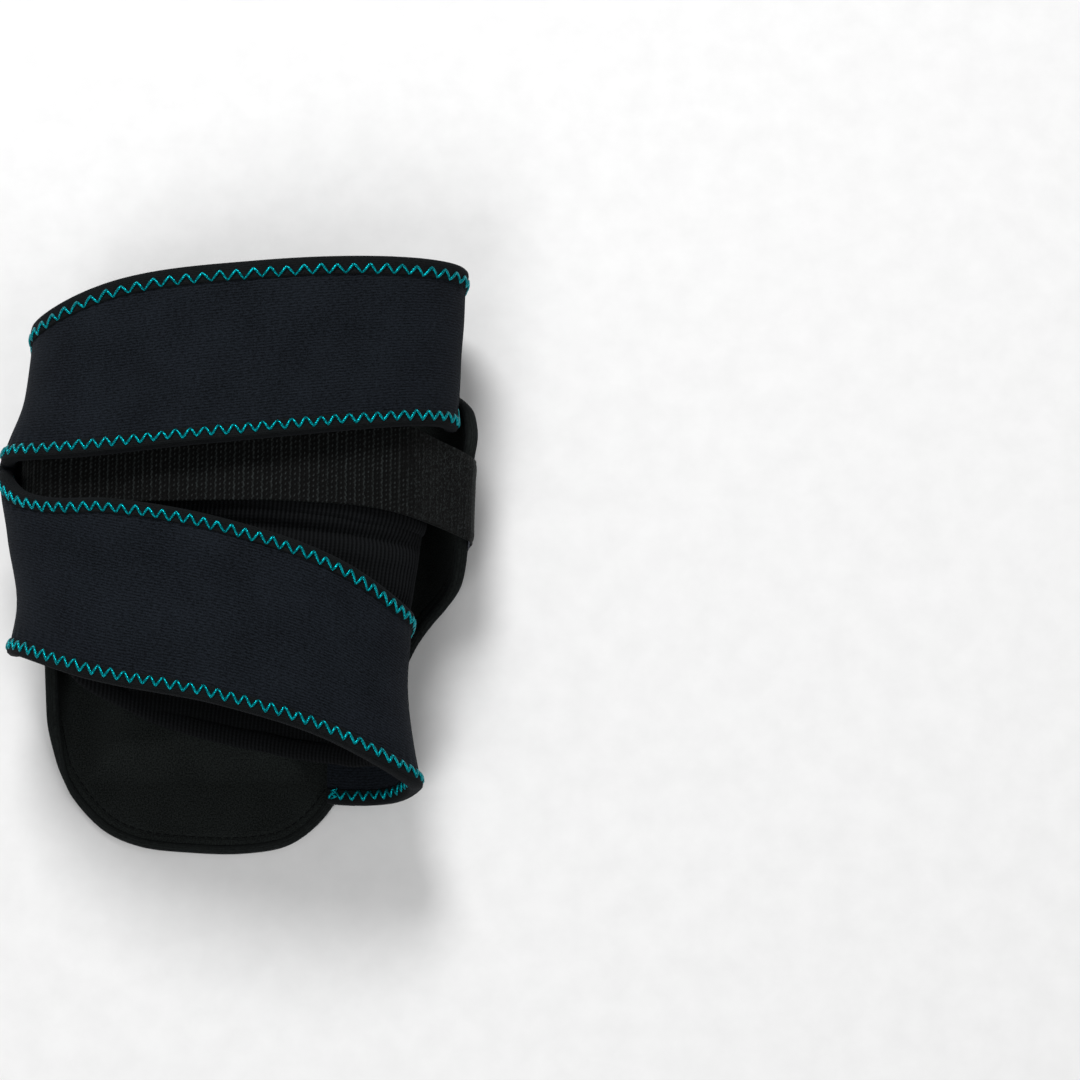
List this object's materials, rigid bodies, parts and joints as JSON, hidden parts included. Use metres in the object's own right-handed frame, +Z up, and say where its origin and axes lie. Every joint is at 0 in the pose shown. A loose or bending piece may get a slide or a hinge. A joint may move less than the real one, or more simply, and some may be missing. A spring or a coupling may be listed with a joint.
{
  "type": "cold compression wrap",
  "caption": "Soft limb wrap: neoprene panel with slanted arms over a ribbed sleeve and elastic band, sewn to a padded back that holds a sliding cold gel pack.",
  "frame": {"origin": "on the ground under the centre of the wrap's box, with the wrap lying on its padded back", "axes": "+X across the limb towards the side lobe, +Y along the limb towards the pocket mouth, +Z up from the padded back to the front"},
  "size_m": [0.163, 0.2, 0.0724],
  "materials": {
    "neoprene_navy": "navy black jersey over neoprene, fine rows, faint sheen",
    "binding_black": "black stretch binding",
    "thread_teal": "glossy teal filament thread",
    "thread_black": "black thread",
    "lining_brushed": "black brushed jersey",
    "foam_grey": "fine closed cell foam",
    "knit_rib": "fine black rib knit",
    "knit_elastic": "coarse black knitted elastic",
    "hook_black": "moulded hooks",
    "loop_black": "napped loops",
    "pouch_film": "clear blue welded film",
    "gel_blue": "soft blue gel"
  },
  "bodies": {
    "root": {"pad_outer_shell": "neoprene_navy", "pad_insulation_foam": "foam_grey", "pad_lining": "lining_brushed", "pad_edge_binding": "binding_black", "pad_hem_stitch": "thread_black", "pocket_mouth_binding": "binding_black", "pocket_hook_strip": "hook_black", "pocket_loop_strip": "loop_black", "side_loop_patch": "loop_black", "lobe_loop_patch": "loop_black", "knit_sleeve": "knit_rib", "sleeve_top_hem": "knit_rib", "sleeve_bottom_hem": "knit_rib", "sleeve_seam": "thread_black", "elastic_band": "knit_elastic", "elastic_anchor_seam": "thread_black", "upper_root_panel": "neoprene_navy", "upper_root_bindings": "binding_black", "upper_root_stitches": "thread_teal", "upper_root_bartack": "thread_teal", "lower_root_panel": "neoprene_navy", "lower_root_bindings": "binding_black", "lower_root_stitches": "thread_teal", "lower_root_bartack": "thread_teal"},
    "front_wrap": {"upper_arm_panel": "neoprene_navy", "lower_arm_panel": "neoprene_navy", "stem_panel": "neoprene_navy", "upper_top_binding": "binding_black", "slit_binding": "binding_black", "lower_bottom_binding": "binding_black", "upper_top_stitch": "thread_teal", "upper_slit_stitch": "thread_teal", "lower_slit_stitch": "thread_teal", "lower_bottom_stitch": "thread_teal"},
    "closure_tab": {"closure_tab_panel": "neoprene_navy", "closure_hook_patch": "hook_black", "closure_tab_stitch": "thread_black"},
    "elastic_tab": {"elastic_tab_end": "knit_elastic", "elastic_hook_patch": "hook_black"},
    "gel_pack": {"gel_pouch": "pouch_film", "gel_fill": "gel_blue"}
  },
  "joints": [
    {"name": "front_wrap_swing", "type": "hinge", "parent": "root", "child": "front_wrap", "pos_m": [0.0717, 0, 0.037], "axis": [0.1003, 0.995, 0], "range_deg": [0, 110]},
    {"name": "closure_tab_peel", "type": "hinge", "parent": "front_wrap", "child": "closure_tab", "pos_m": [-0.0749, 0.02, 0.01975], "axis": [0, 1, 0], "range_deg": [0, 100]},
    {"name": "elastic_tab_peel", "type": "hinge", "parent": "root", "child": "elastic_tab", "pos_m": [0.0815, 0.02, 0.02995], "axis": [0, -1, 0], "range_deg": [0, 110]},
    {"name": "gel_pack_slide", "type": "slide", "parent": "root", "child": "gel_pack", "axis": [0, 1, 0], "range_m": [0, 0.16]}
  ]
}
